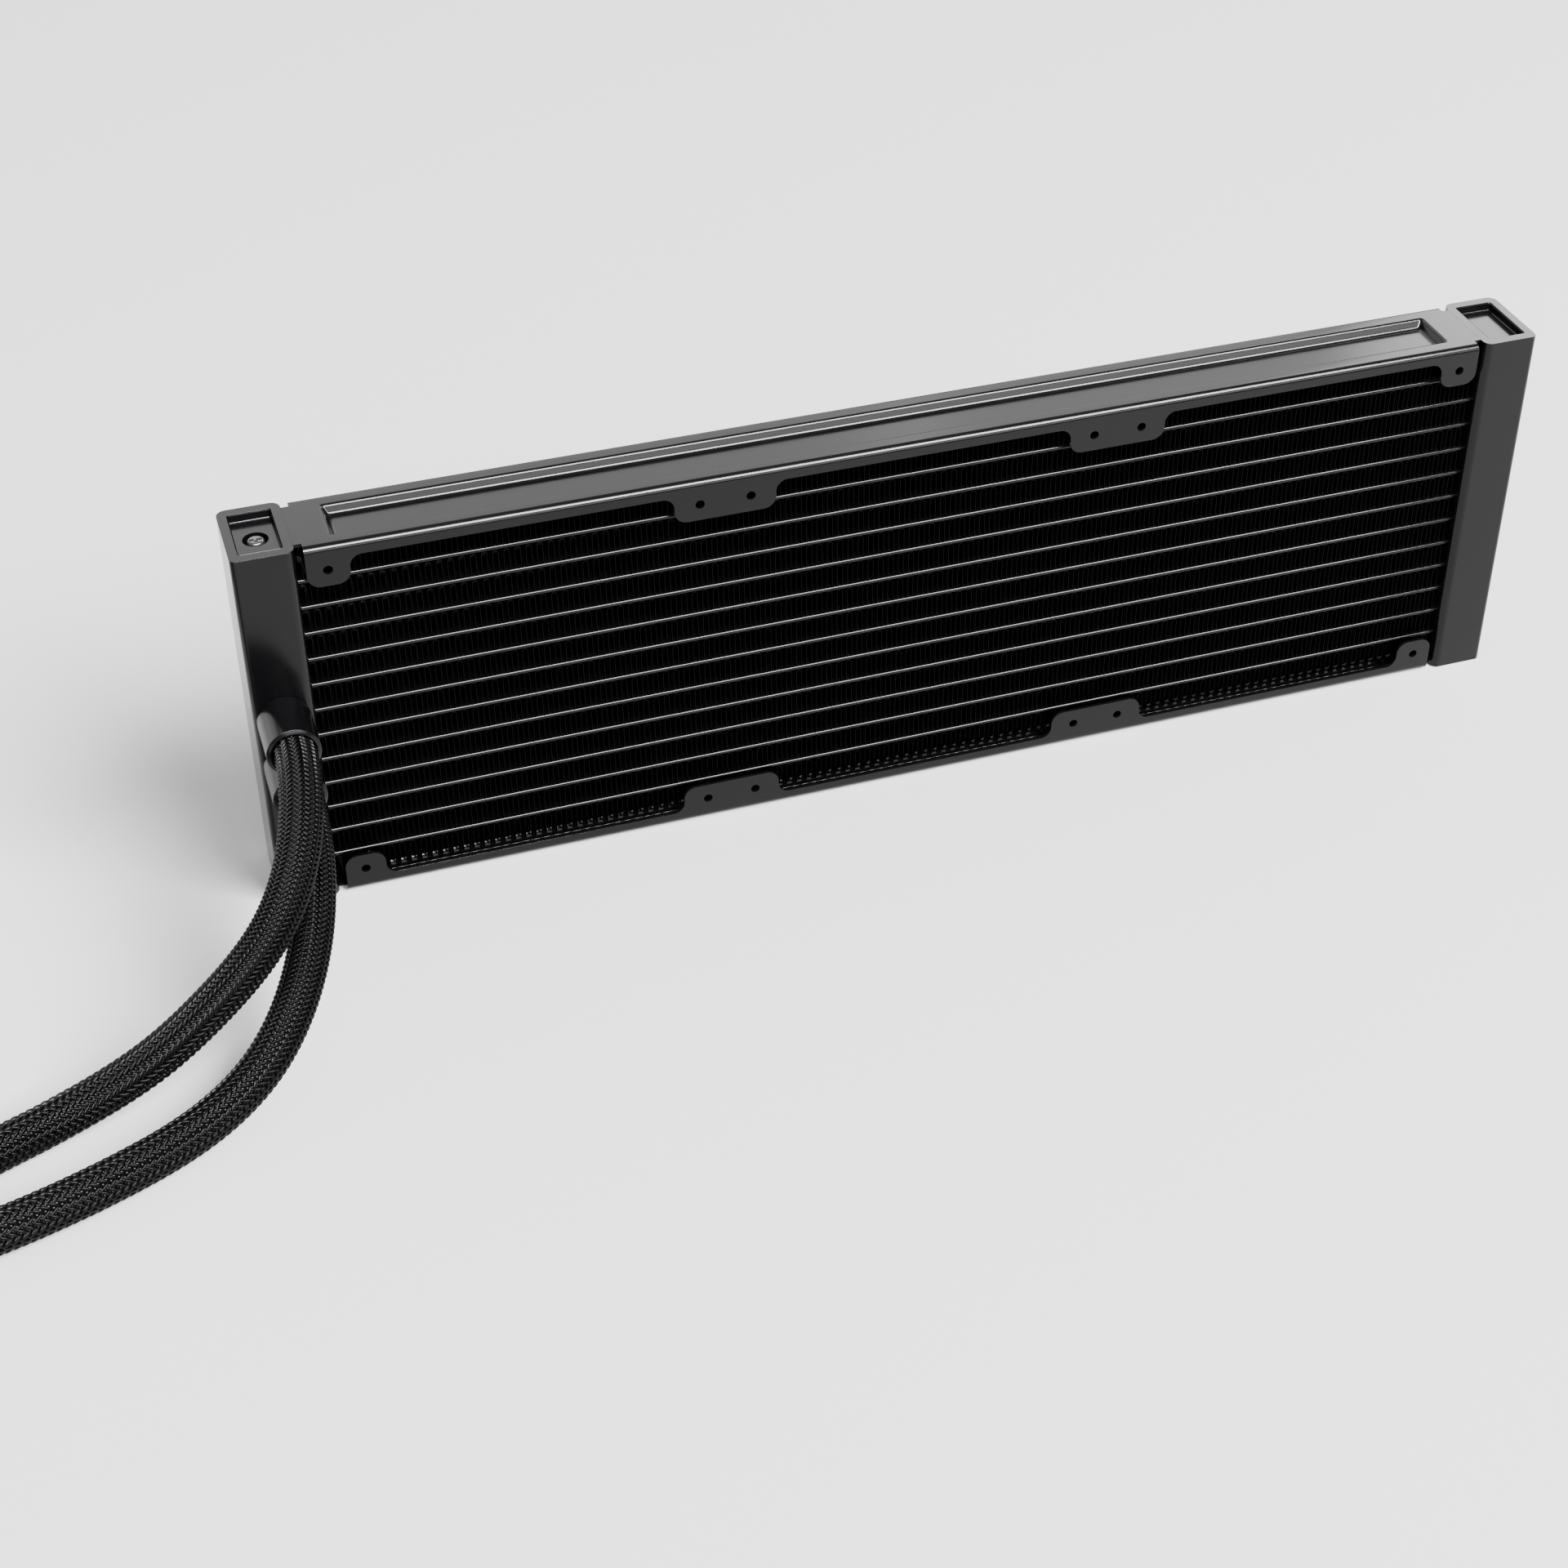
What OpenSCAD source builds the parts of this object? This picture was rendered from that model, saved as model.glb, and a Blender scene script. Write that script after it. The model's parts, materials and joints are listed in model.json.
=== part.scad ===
// Liquid cooling radiator for three fans in a row, with two sleeved hoses
// Millimetres, +Z up, the front with the hose ports faces -Y, standing on its lower long edge

/* [Assembly] */
// Which piece to draw, or all of them
// Number of fan places along the core
fan_count = 3; // [1:1:4]
// Pitch of the fan places
fan_pitch = 120; // [120:20:140]
// Side of the square of fan screw holes
fan_hole_square = 105; // [105:1:125]
// Diameter of a fan screw hole
fan_hole_d = 2.7; // [2.5:0.1:4.5]

/* [Tanks] */
// Height of the radiator
body_height = 120; // [110:1:150]
// Depth of the radiator from front to back
body_depth = 27; // [25:0.5:60]
// Width of each end tank
tank_width = 17.6; // [12:0.1:40]
// How far a tank's outer face lies beyond the outer fan frame
tank_overhang = 18.2; // [14:0.1:45]
// Wall of a tank
tank_wall = 2; // [1:0.1:3]
// Radius of a tank's upright edges
tank_edge_r = 2.6; // [0.5:0.1:5]
// Depth of the pocket in the end of a tank
pocket_depth = 2.5; // [1:0.1:5]
// Width of the pocket along the radiator
pocket_width = 12.2; // [8:0.1:16]
// Length of the pocket from front to back
pocket_length = 21; // [14:0.1:24]

/* [Side plates] */
// Thickness of the side plates
sheet = 1; // [0.6:0.1:2]
// Outer radius of the folded edge of a side plate
bend_r = 2.2; // [1.2:0.1:4]
// Height of the narrow part of a flange
strip_height = 4.1; // [3:0.1:8]
// Height of a flange at a screw ear
ear_height = 12.6; // [9:0.1:20]
// Width of a screw ear between two fans
ear_width = 30; // [20:0.5:40]
// Width of a screw ear at the end
end_ear_width = 12; // [9:0.1:20]
// Radius of the rounded corners of an ear
ear_corner_r = 3.8; // [0:0.1:5]
// Radius of the hollow between an ear and the strip
ear_hollow_r = 3.4; // [0:0.1:5]
// Depth of the long pressed recess
recess_depth = 2.6; // [1:0.1:4]
// Width of the mouth of the pressed recess
recess_width = 15.3; // [8:0.1:20]
// Distance from the recess to the tank
recess_end_gap = 10.55; // [6:0.05:20]

/* [Core] */
// Number of flat water tubes
tube_count = 12; // [4:1:14]
// Pitch of the flat tubes
tube_pitch = 8.7; // [6:0.1:12]
// Thickness of a flat tube
tube_thick = 1.3; // [1:0.1:3]
// Depth of a flat tube from front to back
tube_depth = 20.4; // [12:0.1:26]
// Wall of a flat tube
tube_wall = 0.3; // [0.2:0.05:0.6]
// Number of folds of a fin row along the core
fin_folds = 114; // [20:1:200]
// Thickness of the fin sheet
fin_sheet = 0.25; // [0.1:0.05:0.5]
// Depth of the fins from front to back
fin_depth = 20; // [10:0.5:25]

/* [Ports and hoses] */
// Height of the upper port above the lower edge
port_1_height = 66.4; // [20:0.1:100]
// Height of the lower port above the lower edge
port_2_height = 50.6; // [20:0.1:100]
// Outer diameter of a hose collar
collar_d = 14.8; // [12:0.1:20]
// Length of a hose collar
collar_length = 17; // [8:0.5:30]
// Outer diameter of the barb inside the hose
barb_d = 9.6; // [6:0.1:12]
// Bore of the barb
barb_bore = 7; // [4:0.1:9]
// Outer diameter of a hose with its sleeve
hose_d = 12; // [8:0.5:16]

/* [Fill plug] */
// Diameter of the head of the fill plug
plug_head_d = 4.8; // [3:0.1:8]
// Height of the head of the fill plug
plug_head_height = 1.6; // [1:0.1:3]
// Diameter of the round pit around the head
plug_pit_d = 7.2; // [5:0.1:10]
// Diameter of the shank of the fill plug
plug_shank_d = 2.9; // [2:0.1:5]

/* [Hidden] */
$fn = 48;
nothing = 0.01;
spare = 1;

// Main planes
mid_z = body_height / 2;
front_y = -body_depth / 2;
half_length = fan_count * fan_pitch / 2 + tank_overhang;
tank_in_x = half_length - tank_width;
tank_mid_x = half_length - tank_width / 2;
cap_height = 4;
tank_inner_r = 0.8;

// Side plates
plate_end_x = tank_in_x - bend_r;
web_half_depth = 10;
recess_angle = 60;
recess_slope = tan(recess_angle);
recess_half_length = tank_in_x - recess_end_gap;
recess_floor_z = recess_depth + sheet;

// Core
header_overlap = 1.4;
window_half_depth = 10.7;
window_half_height = 55;
fin_gap = 0.05;
core_bottom_z = recess_floor_z;
lowest_tube_z = mid_z - (tube_count - 1) / 2 * tube_pitch;
tube_zs = [for (i = [0:tube_count - 1]) lowest_tube_z + i * tube_pitch];
fin_pitch = 2 * (tank_in_x - fin_gap) / fin_folds;

// Divider between the two halves of the port tank
divider_thick = 1.5;
divider_z = mid_z - 1.5;

// Collars and barbs
hose_start_y = -27;
hose_fit_gap = 0.3;
collar_end_y = front_y - collar_length;
barb_inner_y = front_y + tank_wall + spare;
port_z = [port_1_height, port_2_height];

// Fill plug
boss_d = 9;
boss_depth = 6;
pit_depth = 4.9;
plug_clearance = 0.05;
plug_shank_length = 4.9;
plug_head_top_z = body_height - pocket_depth;
plug_head_z = plug_head_top_z - plug_head_height;
seal_sheet_r = 0.4;
seal_mid_r = 1.9;
plug_edge = 0.3;
cross_width = 0.7;
cross_length = 3;
cross_depth = 0.9;

// Fitting at the far end of a hose
elbow_z = collar_d / 2;
elbow_run = 13;
end_collar_length = 5;
stem_r = 4.5;
stem_top_z = 21.5;
swivel_gap = 0.05;
swivel_z = 15.3;
flange_r = 9;
flange_thick = 3;
thread_r = 6.58;
thread_length = 4.1;
neck_r = 6;
swivel_seal_r = 0.9;
thread_start = flange_thick + 2 * swivel_seal_r + 0.1;
swivel_bore_r = 3;

// Routes of the hoses: x from the middle of the port tank, y, z above the lower edge
route_1 = [
  [0, -27, 66.4], [-0.5, -38, 65.5], [-5.5, -59.5, 56.5], [-17.5, -75.5, 43], [-35, -82.5, 29],
  [-54.5, -85, 15.5], [-77, -88, 7], [-99.5, -96, 6], [-125, -102, 6], [-150.5, -97, 6],
  [-171.5, -81.5, 6], [-184, -58.5, 6], [-186.5, -32.5, 6], [-186.5, -6.5, 6],
  [-186.5, 19.5, 6], [-186.5, 44, 6.7], [-186.5, 66, 7.4]
];
route_2 = [
  [0, -27, 50.6], [-0.2, -38, 49.5], [-3, -59.5, 40.5], [-11, -77.5, 26], [-25, -92.5, 13.5],
  [-44, -104, 7], [-66.5, -114, 6], [-89.5, -121.5, 6], [-115, -126.5, 6], [-143, -125.5, 6],
  [-170, -114.5, 6], [-192.5, -95.5, 6], [-207, -70.5, 6], [-211.5, -42.5, 6],
  [-211.5, -16.5, 6], [-211.5, -1, 6.7], [-211.5, 17, 7.4]
];
routes = [
  [for (p = route_1) [p[0] - tank_mid_x, p[1], p[2]]],
  [for (p = route_2) [p[0] - tank_mid_x, p[1], p[2]]]
];
hose_sides = 12;

// ---------- shared shapes ----------

// Rectangle with round corners made of squares and circles
module round_rect(w, d, r) {
  union() {
    square([w - 2 * r, d], center = true);
    square([w, d - 2 * r], center = true);
    for (sx = [-1, 1], sy = [-1, 1])
      translate([sx * (w / 2 - r), sy * (d / 2 - r)])
        circle(r);
  }
}

// Upright block with rounded upright edges
module round_block(x, z0, z1, w, d, r) {
  translate([x, 0, z0])
    linear_extrude(z1 - z0)
      round_rect(w, d, r);
}

// Cylinder along Y from y0 to y1
module rod_y(x, z, y0, y1, r) {
  translate([x, y1, z])
    rotate([90, 0, 0])
      cylinder(h = y1 - y0, r = r);
}

// Ring of round section lying flat
module ring(x, y, z, mid_r, wire_r) {
  translate([x, y, z])
    rotate_extrude()
      translate([mid_r, 0])
        circle(wire_r, $fn = 24);
}

// Mirror image in the middle height of the radiator
module lower() {
  translate([0, 0, body_height])
    mirror([0, 0, 1])
      children();
}

// ---------- side plates ----------

// One ear of a flange, outline in x and depth below the top
module ear_outline(x0, x1, left_hollow, right_hollow) {
  r = ear_corner_r;
  union() {
    translate([x0, -ear_height + r])
      square([x1 - x0, ear_height - r - bend_r]);
    translate([x0 + r, -ear_height])
      square([x1 - x0 - 2 * r, r + nothing]);
    for (x = [x0 + r, x1 - r])
      translate([x, -ear_height + r])
        circle(r);
    if (left_hollow) hollow_outline(x0, -1);
    if (right_hollow) hollow_outline(x1, 1);
  }
}

// Filled corner between an ear and the strip
module hollow_outline(x, side) {
  h = ear_hollow_r;
  difference() {
    translate([side > 0 ? x - nothing : x - h, -strip_height - h])
      square([h + nothing, h + nothing]);
    translate([x + side * h, -strip_height - h])
      circle(h);
  }
}

// Outline of a whole flange
module flange_outline() {
  union() {
    translate([-plate_end_x, -strip_height])
      square([2 * plate_end_x, strip_height - bend_r]);
    ear_outline(-plate_end_x, -plate_end_x + end_ear_width, false, true);
    ear_outline(plate_end_x - end_ear_width, plate_end_x, true, false);
    if (fan_count > 1)
      for (i = [1:fan_count - 1]) {
        x = (i - fan_count / 2) * fan_pitch;
        ear_outline(x - ear_width / 2, x + ear_width / 2, true, true);
      }
  }
}

// Holes of one row along the flange
module flange_holes() {
  for (i = [0:fan_count - 1], s = [-1, 1])
    translate([
      (i - (fan_count - 1) / 2) * fan_pitch + s * fan_hole_square / 2,
      (fan_hole_square - body_height) / 2
    ])
      circle(fan_hole_d / 2);
}

// Flange at the front, top edge at z = body_height
module flange() {
  translate([0, front_y + sheet, body_height])
    rotate([90, 0, 0])
      linear_extrude(sheet)
        difference() {
          flange_outline();
          flange_holes();
        }
}

// Rounded fold between the web and the front flange
module fold() {
  translate([-plate_end_x, front_y + bend_r, body_height - bend_r])
    rotate([90, 0, 90])
      linear_extrude(2 * plate_end_x)
        intersection() {
          difference() {
            circle(bend_r);
            circle(bend_r - sheet);
          }
          translate([-bend_r, 0])
            square(bend_r);
        }
}

// Long block whose sides slope in downwards from half sizes hx and hy at the top
module tapered_block(hx, hy, depth) {
  run = depth / recess_slope;
  intersection() {
    translate([0, hy, body_height])
      rotate([90, 0, 0])
        linear_extrude(2 * hy)
          polygon([[-hx, 0], [-hx + run, -depth], [hx - run, -depth], [hx, 0]]);
    translate([-hx, 0, body_height])
      rotate([90, 0, 90])
        linear_extrude(2 * hx)
          polygon([[-hy, 0], [-hy + run, -depth], [hy - run, -depth], [hy, 0]]);
  }
}

module side_plate() {
  side_shift = sheet / sin(recess_angle);
  half_x = recess_half_length;
  half_y = recess_width / 2;
  difference() {
    union() {
      translate([-plate_end_x, front_y + bend_r, body_height - sheet])
        cube([2 * plate_end_x, body_depth - 2 * bend_r, sheet]);
      translate([-tank_in_x, -web_half_depth, body_height - sheet])
        cube([2 * tank_in_x, 2 * web_half_depth, sheet]);
      tapered_block(half_x + side_shift, half_y + side_shift, recess_depth + sheet);
      for (m = [0, 1])
        mirror([0, m, 0]) {
          flange();
          fold();
        }
    }
    tapered_block(half_x, half_y, recess_depth);
  }
}

// ---------- tanks ----------

module tank_shell() {
  round_block(-tank_mid_x, 0, body_height, tank_width, body_depth, tank_edge_r);
}

module tank_inside() {
  w = tank_width - 2 * tank_wall;
  d = body_depth - 2 * tank_wall;
  round_block(-tank_mid_x, -spare, body_height + spare, w, d, tank_inner_r);
}

module header_window() {
  translate([-tank_in_x - tank_wall - spare, -window_half_depth, mid_z - window_half_height])
    cube([tank_wall + 2 * spare, 2 * window_half_depth, 2 * window_half_height]);
}

module tank(with_ports) {
  difference() {
    tank_shell();
    tank_inside();
    header_window();
    if (with_ports)
      for (z = port_z)
        rod_y(-tank_mid_x, z, front_y - spare, 0, barb_d / 2);
  }
}

// Flat tube section along X
module tube_section(depth, thick) {
  union() {
    square([depth - thick, thick], center = true);
    for (s = [-1, 1])
      translate([s * (depth - thick) / 2, 0])
        circle(thick / 2);
  }
}

module tube_bar(z, depth, thick, half) {
  translate([-half, 0, z])
    rotate([90, 0, 90])
      linear_extrude(2 * half)
        tube_section(depth, thick);
}

module header_plate() {
  difference() {
    translate([-tank_in_x - tank_wall, -window_half_depth, mid_z - window_half_height])
      cube([tank_wall, 2 * window_half_depth, 2 * window_half_height]);
    for (z = tube_zs)
      tube_bar(z, tube_depth, tube_thick, half_length);
  }
}

module divider() {
  w = tank_width - 2 * tank_wall;
  d = body_depth - 2 * tank_wall;
  round_block(-tank_mid_x, divider_z - divider_thick / 2, divider_z + divider_thick / 2, w, d,
    tank_inner_r);
}

// Cup-shaped end cap, with a threaded boss for the plug where asked
module end_cap(with_boss) {
  w = tank_width - 2 * tank_wall;
  d = body_depth - 2 * tank_wall;
  top = body_height;
  difference() {
    union() {
      round_block(-tank_mid_x, top - cap_height, top, w, d, tank_inner_r);
      if (with_boss)
        translate([-tank_mid_x, 0, top - cap_height - boss_depth])
          cylinder(h = boss_depth + nothing, r = boss_d / 2);
    }
    round_block(-tank_mid_x, top - pocket_depth, top + spare, pocket_width, pocket_length,
      tank_inner_r);
    if (with_boss)
      translate([-tank_mid_x, 0, 0]) {
        translate([0, 0, top - pit_depth])
          cylinder(h = pit_depth + spare, r = plug_pit_d / 2);
        cylinder(h = top, r = plug_shank_d / 2 + plug_clearance);
      }
  }
}

// ---------- core ----------

module flat_tube(i) {
  half = tank_in_x + tank_wall + header_overlap;
  difference() {
    tube_bar(tube_zs[i], tube_depth, tube_thick, half);
    tube_bar(tube_zs[i], tube_depth - 2 * tube_wall, tube_thick - 2 * tube_wall,
      half + spare);
  }
}

// Lower and upper height of fin row i, counted from the bottom
function fin_low(i) = i == 0 ? core_bottom_z + fin_gap
  : tube_zs[i - 1] + tube_thick / 2 + fin_gap;
function fin_high(i) = i == tube_count ? body_height - core_bottom_z - fin_gap
  : tube_zs[i] - tube_thick / 2 - fin_gap;

// Upper and lower edge of one fold of the fin sheet
function fold_upper(x, z0, z1) = [
  [x, z0 + fin_sheet], [x, z1],
  [x + fin_pitch / 2 + fin_sheet, z1], [x + fin_pitch / 2 + fin_sheet, z0 + fin_sheet]
];
function fold_lower(x, z0, z1) = [
  [x + fin_sheet, z0], [x + fin_sheet, z1 - fin_sheet],
  [x + fin_pitch / 2, z1 - fin_sheet], [x + fin_pitch / 2, z0]
];

module fin_row(i) {
  z0 = fin_low(i);
  z1 = fin_high(i);
  x0 = -tank_in_x + fin_gap;
  last = fin_folds - 1;
  upper = [for (k = [0:last]) each fold_upper(x0 + k * fin_pitch, z0, z1)];
  lower_rev = [for (k = [0:last], j = [0:3])
    fold_lower(x0 + (last - k) * fin_pitch, z0, z1)[3 - j]];
  x1 = x0 + fin_folds * fin_pitch;
  translate([0, fin_depth / 2, 0])
    rotate([90, 0, 0])
      linear_extrude(fin_depth)
        polygon(concat([[x0, z0]], upper, [[x1, z0 + fin_sheet], [x1, z0]], lower_rev));
}

// ---------- fill plug ----------

module fill_plug() {
  translate([-tank_mid_x, 0, plug_head_z])
    difference() {
      union() {
        cylinder(h = plug_head_height - plug_edge, r = plug_head_d / 2);
        translate([0, 0, plug_head_height - plug_edge])
          cylinder(h = plug_edge, r1 = plug_head_d / 2, r2 = plug_head_d / 2 - plug_edge);
        translate([0, 0, -plug_shank_length])
          cylinder(h = plug_shank_length + nothing, r = plug_shank_d / 2);
      }
      for (a = [0, 90])
        rotate([0, 0, a])
          translate([-cross_length / 2, -cross_width / 2, plug_head_height - cross_depth])
            cube([cross_length, cross_width, cross_depth + spare]);
    }
}

module fill_plug_seal() {
  ring(-tank_mid_x, 0, plug_head_z - seal_sheet_r, seal_mid_r, seal_sheet_r);
}

// ---------- ports and hoses ----------

module barb(i) {
  z = port_z[i];
  difference() {
    rod_y(-tank_mid_x, z, hose_start_y, barb_inner_y, barb_d / 2);
    rod_y(-tank_mid_x, z, hose_start_y - spare, barb_inner_y + spare, barb_bore / 2);
  }
}

module collar(i) {
  z = port_z[i];
  difference() {
    rod_y(-tank_mid_x, z, collar_end_y, front_y, collar_d / 2);
    rod_y(-tank_mid_x, z, hose_start_y, front_y + spare, barb_d / 2);
    rod_y(-tank_mid_x, z, collar_end_y - spare, hose_start_y, hose_d / 2 + hose_fit_gap);
  }
}

// Unit vector
function unit(v) = v / norm(v);

// Direction of the hose at point k of its route, square to Y at both ends
function heading(p, k) = k == 0 ? [0, -1, 0]
  : k == len(p) - 1 ? [0, 1, 0]
  : unit(unit(p[k + 1] - p[k]) + unit(p[k] - p[k - 1]));

// Side and upward directions across the hose
function across(d) = abs(d[2]) > 0.99 ? [1, 0, 0] : unit(cross(d, [0, 0, 1]));

function hose_ring(p, k) = let (d = heading(p, k), s = across(d), u = cross(s, d))
  [for (j = [0:hose_sides - 1])
    let (a = (j + 0.5) * 360 / hose_sides)
    p[k] + hose_d / 2 * (cos(a) * s + sin(a) * u)];

module hose(i) {
  p = routes[i];
  n = hose_sides;
  m = len(p);
  points = [for (k = [0:m - 1]) each hose_ring(p, k)];
  sides = [for (k = [0:m - 2], j = [0:n - 1])
    [k * n + j, k * n + (j + 1) % n, (k + 1) * n + (j + 1) % n, (k + 1) * n + j]];
  start_cap = [[for (j = [0:n - 1]) n - 1 - j]];
  end_cap_face = [[for (j = [0:n - 1]) (m - 1) * n + j]];
  polyhedron(points, concat(sides, start_cap, end_cap_face), convexity = 10);
}

// ---------- fittings at the far ends ----------

function hose_end(i) = routes[i][len(routes[i]) - 1];

module end_collar(i) {
  e = hose_end(i);
  difference() {
    rod_y(e[0], elbow_z, e[1] - end_collar_length, e[1], collar_d / 2);
    rod_y(e[0], elbow_z, e[1] - end_collar_length - spare, e[1] + spare,
      hose_d / 2 + hose_fit_gap);
  }
}

module elbow(i) {
  e = hose_end(i);
  corner_y = e[1] + elbow_run;
  difference() {
    union() {
      rod_y(e[0], elbow_z, e[1], corner_y, collar_d / 2);
      translate([e[0], corner_y, elbow_z])
        sphere(collar_d / 2);
      translate([e[0], corner_y, elbow_z])
        cylinder(h = swivel_z - elbow_z - swivel_gap, r = collar_d / 2);
      translate([e[0], corner_y, elbow_z])
        cylinder(h = stem_top_z - elbow_z, r = stem_r);
    }
    rod_y(e[0], elbow_z, e[1] - spare, corner_y, swivel_bore_r);
    translate([e[0], corner_y, elbow_z])
      cylinder(h = stem_top_z, r = swivel_bore_r);
  }
}

module swivel(i) {
  e = hose_end(i);
  translate([e[0], e[1] + elbow_run, swivel_z])
    difference() {
      union() {
        cylinder(h = flange_thick, r = flange_r);
        cylinder(h = thread_start + thread_length, r = neck_r);
        translate([0, 0, thread_start])
          cylinder(h = thread_length, r = thread_r);
      }
      translate([0, 0, -spare])
        cylinder(h = stem_top_z - swivel_z + swivel_gap + spare, r = stem_r + swivel_gap);
      cylinder(h = thread_start + thread_length + spare, r = swivel_bore_r);
    }
}

module swivel_seal(i) {
  e = hose_end(i);
  ring(e[0], e[1] + elbow_run, swivel_z + flange_thick + swivel_seal_r,
    neck_r + swivel_seal_r, swivel_seal_r);
}

// ---------- nodes ----------

black_paint = [0.07, 0.07, 0.075];
core_black = [0.03, 0.03, 0.032];
metal = [0.7, 0.7, 0.68];
rubber_black = [0.05, 0.05, 0.05];

color(black_paint) side_plate();  // top_side_plate
color(black_paint) lower() side_plate();  // bottom_side_plate
color(black_paint) tank(true);  // left_tank
color(black_paint) mirror([1, 0, 0]) tank(false);  // right_tank
color(metal) divider();  // tank_divider
color(core_black) header_plate();  // left_header_plate
color(core_black) mirror([1, 0, 0]) header_plate();  // right_header_plate
color(black_paint) end_cap(true);  // left_top_cap
color(black_paint) lower() end_cap(false);  // left_bottom_cap
color(black_paint) mirror([1, 0, 0]) end_cap(false);  // right_top_cap
color(black_paint) lower() mirror([1, 0, 0]) end_cap(false);  // right_bottom_cap
color(metal) fill_plug();
color(rubber_black) fill_plug_seal();
for (i = [0:tube_count - 1])
  color(core_black) flat_tube(i);
for (i = [0:tube_count])
  color(core_black) fin_row(i);
for (i = [0, 1]) {
  color(metal) barb(i);
  color(black_paint) collar(i);
  color(rubber_black) hose(i);
  color(black_paint) end_collar(i);
  color(metal) elbow(i);
  color(metal) swivel(i);
  color(rubber_black) swivel_seal(i);
}
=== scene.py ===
import bpy
import bmesh
import json
import math
import numpy as np
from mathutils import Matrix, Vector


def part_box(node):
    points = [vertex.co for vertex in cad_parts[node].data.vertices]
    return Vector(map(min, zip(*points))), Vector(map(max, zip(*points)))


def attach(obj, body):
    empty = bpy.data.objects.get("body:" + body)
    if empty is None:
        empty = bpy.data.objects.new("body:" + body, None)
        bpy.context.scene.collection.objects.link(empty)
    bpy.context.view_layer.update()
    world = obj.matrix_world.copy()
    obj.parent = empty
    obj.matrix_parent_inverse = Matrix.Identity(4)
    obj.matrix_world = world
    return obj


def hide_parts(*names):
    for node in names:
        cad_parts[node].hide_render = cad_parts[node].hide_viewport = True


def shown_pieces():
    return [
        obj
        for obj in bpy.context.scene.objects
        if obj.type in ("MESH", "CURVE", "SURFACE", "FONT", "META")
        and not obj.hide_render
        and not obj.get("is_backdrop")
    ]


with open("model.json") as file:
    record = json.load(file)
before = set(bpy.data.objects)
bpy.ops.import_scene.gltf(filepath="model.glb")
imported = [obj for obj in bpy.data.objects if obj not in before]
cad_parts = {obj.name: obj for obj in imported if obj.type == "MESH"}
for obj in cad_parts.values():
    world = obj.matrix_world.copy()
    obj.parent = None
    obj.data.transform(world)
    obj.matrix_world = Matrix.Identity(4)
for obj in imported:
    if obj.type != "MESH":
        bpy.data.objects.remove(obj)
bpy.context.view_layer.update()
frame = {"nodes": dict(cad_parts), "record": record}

MM = 0.001
ROOT = "radiator"

# Sizes of the radiator, in millimetres, as the CAD nodes have them
tank_lo, tank_hi = (np.array(v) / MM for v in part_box("left_tank"))
HEIGHT = tank_hi[2]
FRONT = tank_lo[1]
BACK = tank_hi[1]
TANK_OUT = -tank_lo[0]
TANK_IN = -tank_hi[0]
TANK_MID = (TANK_OUT + TANK_IN) / 2
BEND_R = 2.2
PLATE_END = TANK_IN - BEND_R
SHEET = 1.0
TURN = 2 * math.pi

# ------------------------------------------------------------------ camera

CAM_AT = (-0.24143, -0.63084, 0.51543)
CAM_ELEVATION = 36.7145
CAM_AZIMUTH = -18.4135
SENSOR = 36.0
LENS = 61.758
SHIFT = (-0.01468, -0.04171)


def make_camera():
    cam = bpy.data.objects.new("camera", bpy.data.cameras.new("camera"))
    bpy.context.scene.collection.objects.link(cam)
    cam.location = CAM_AT
    cam.rotation_euler = (math.radians(90 - CAM_ELEVATION), 0, math.radians(CAM_AZIMUTH))
    cam.data.sensor_width = SENSOR
    cam.data.lens = LENS
    cam.data.shift_x, cam.data.shift_y = SHIFT
    cam.data.clip_start = 0.01
    bpy.context.scene.camera = cam


make_camera()

# ------------------------------------------------------------------ node materials


class Nodes:
    """A small helper to wire a node material."""

    def __init__(self, name):
        self.mat = bpy.data.materials.new(name)
        self.mat.use_nodes = True
        self.tree = self.mat.node_tree
        self.bsdf = self.tree.nodes["Principled BSDF"]

    def add(self, kind, **values):
        node = self.tree.nodes.new(kind)
        for key, value in values.items():
            if hasattr(node, key):
                setattr(node, key, value)
            else:
                node.inputs[key.replace("_", " ")].default_value = value
        return node

    def link(self, out_socket, in_socket):
        self.tree.links.new(out_socket, in_socket)

    def coords(self, scale):
        tex = self.add("ShaderNodeTexCoord")
        mapping = self.add("ShaderNodeMapping")
        mapping.inputs["Scale"].default_value = scale
        self.link(tex.outputs["Object"], mapping.inputs["Vector"])
        return mapping.outputs["Vector"]

    def noise(self, scale, detail=2.0, stretch=(1, 1, 1), rough=0.5):
        n = self.add("ShaderNodeTexNoise", Scale=scale, Detail=detail, Roughness=rough)
        self.link(self.coords(stretch), n.inputs["Vector"])
        return n.outputs["Fac"]

    def ramp(self, fac, lo, hi):
        r = self.add("ShaderNodeMapRange")
        r.inputs["To Min"].default_value = lo
        r.inputs["To Max"].default_value = hi
        self.link(fac, r.inputs["Value"])
        return r.outputs["Result"]

    def colour(self, fac, dark, light):
        m = self.add("ShaderNodeMix", data_type="RGBA")
        m.inputs["A"].default_value = (*dark, 1)
        m.inputs["B"].default_value = (*light, 1)
        self.link(fac, m.inputs["Factor"])
        self.link(m.outputs["Result"], self.bsdf.inputs["Base Color"])

    def bump(self, height, strength, distance):
        b = self.add("ShaderNodeBump")
        b.inputs["Strength"].default_value = strength
        b.inputs["Distance"].default_value = distance
        self.link(height, b.inputs["Height"])
        self.link(b.outputs["Normal"], self.bsdf.inputs["Normal"])

    def set(self, **values):
        for key, value in values.items():
            self.bsdf.inputs[key.replace("_", " ")].default_value = value
        return self


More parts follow.
